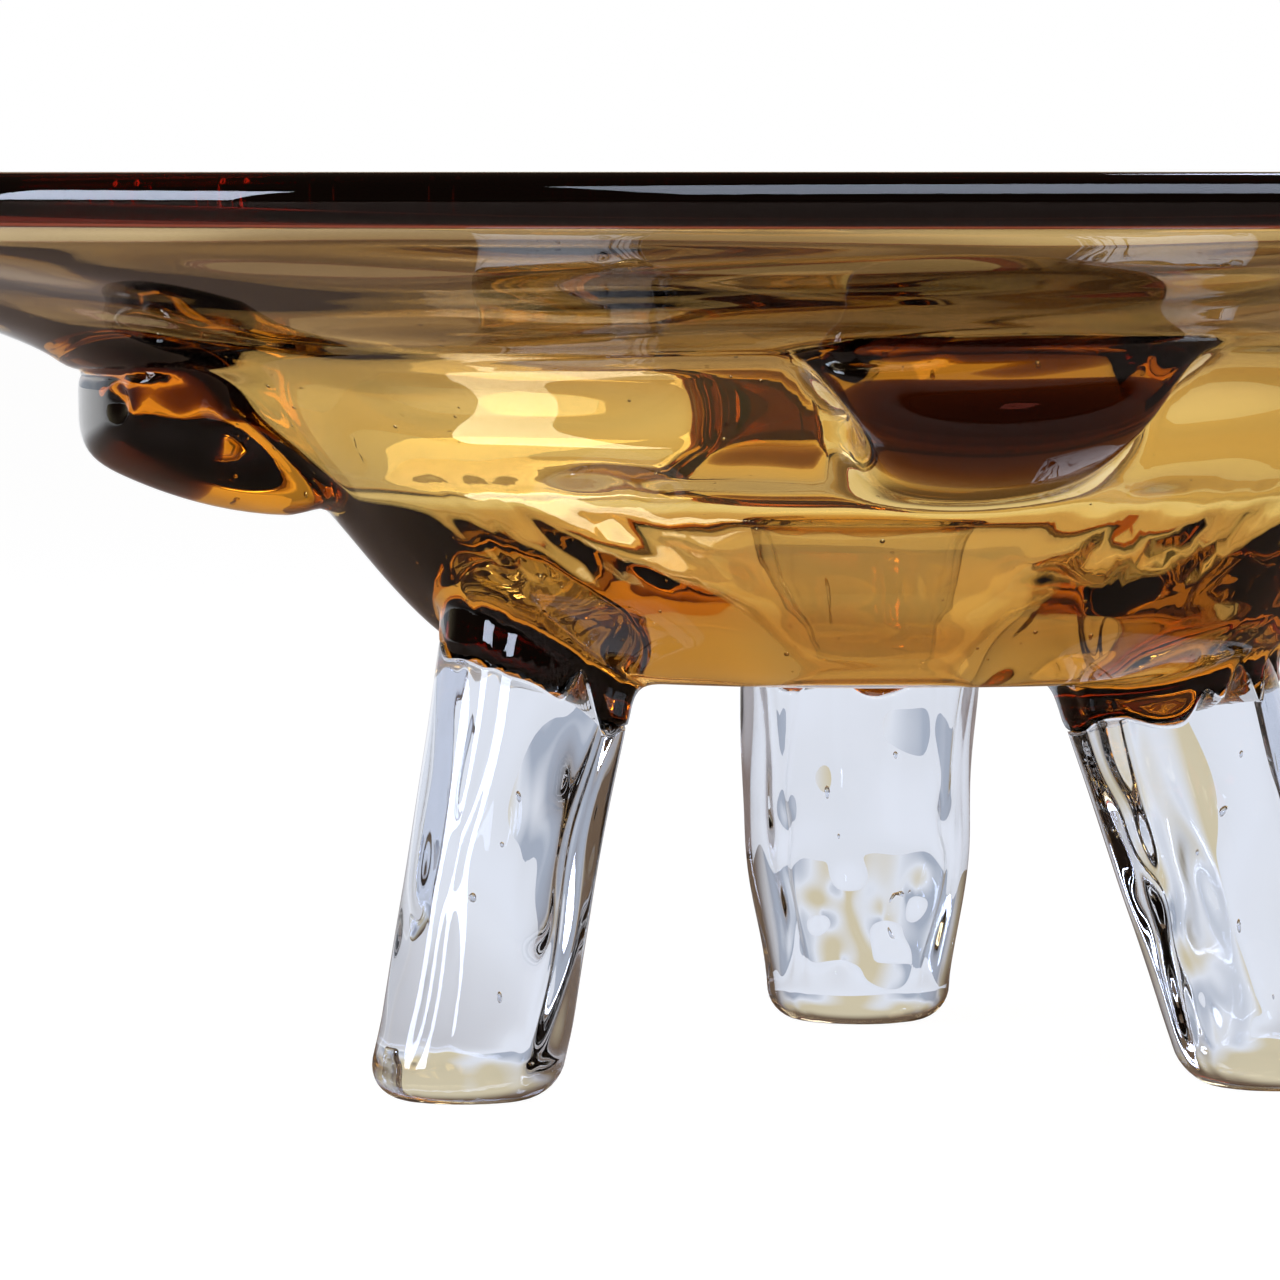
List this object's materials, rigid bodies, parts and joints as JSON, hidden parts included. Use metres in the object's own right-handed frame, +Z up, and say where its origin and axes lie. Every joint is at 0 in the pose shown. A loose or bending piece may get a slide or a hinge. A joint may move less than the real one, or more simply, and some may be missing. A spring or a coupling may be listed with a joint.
{
  "type": "art glass bowl",
  "caption": "Shallow flared amber glass bowl with a dark rolled lip, pulled lugs under the shoulder and solid clear glass legs.",
  "frame": {"origin": "on the surface that the three feet stand on, on the bowl's own axis", "axes": "+Z up through the bowl's mouth, +X to the right and -Y to the front as the bowl is usually shown"},
  "size_m": [0.3799, 0.38, 0.13],
  "materials": {
    "amber_glass": "fire-polished transparent amber soda-lime glass",
    "dark_amber_glass": "fire-polished dark brown-amber glass, nearly black where thick",
    "clear_glass": "clear hot-sculpted glass with a flat ground foot"
  },
  "bodies": {
    "root": {"bowl": "amber_glass", "lip_wrap": "dark_amber_glass", "lug_right": "amber_glass", "lug_rear": "amber_glass", "lug_left": "amber_glass", "lug_front": "amber_glass", "leg_seat_left": "amber_glass", "leg_seat_right": "amber_glass", "leg_seat_rear": "amber_glass", "leg_left": "clear_glass", "leg_right": "clear_glass", "leg_rear": "clear_glass"}
  },
  "joints": []
}
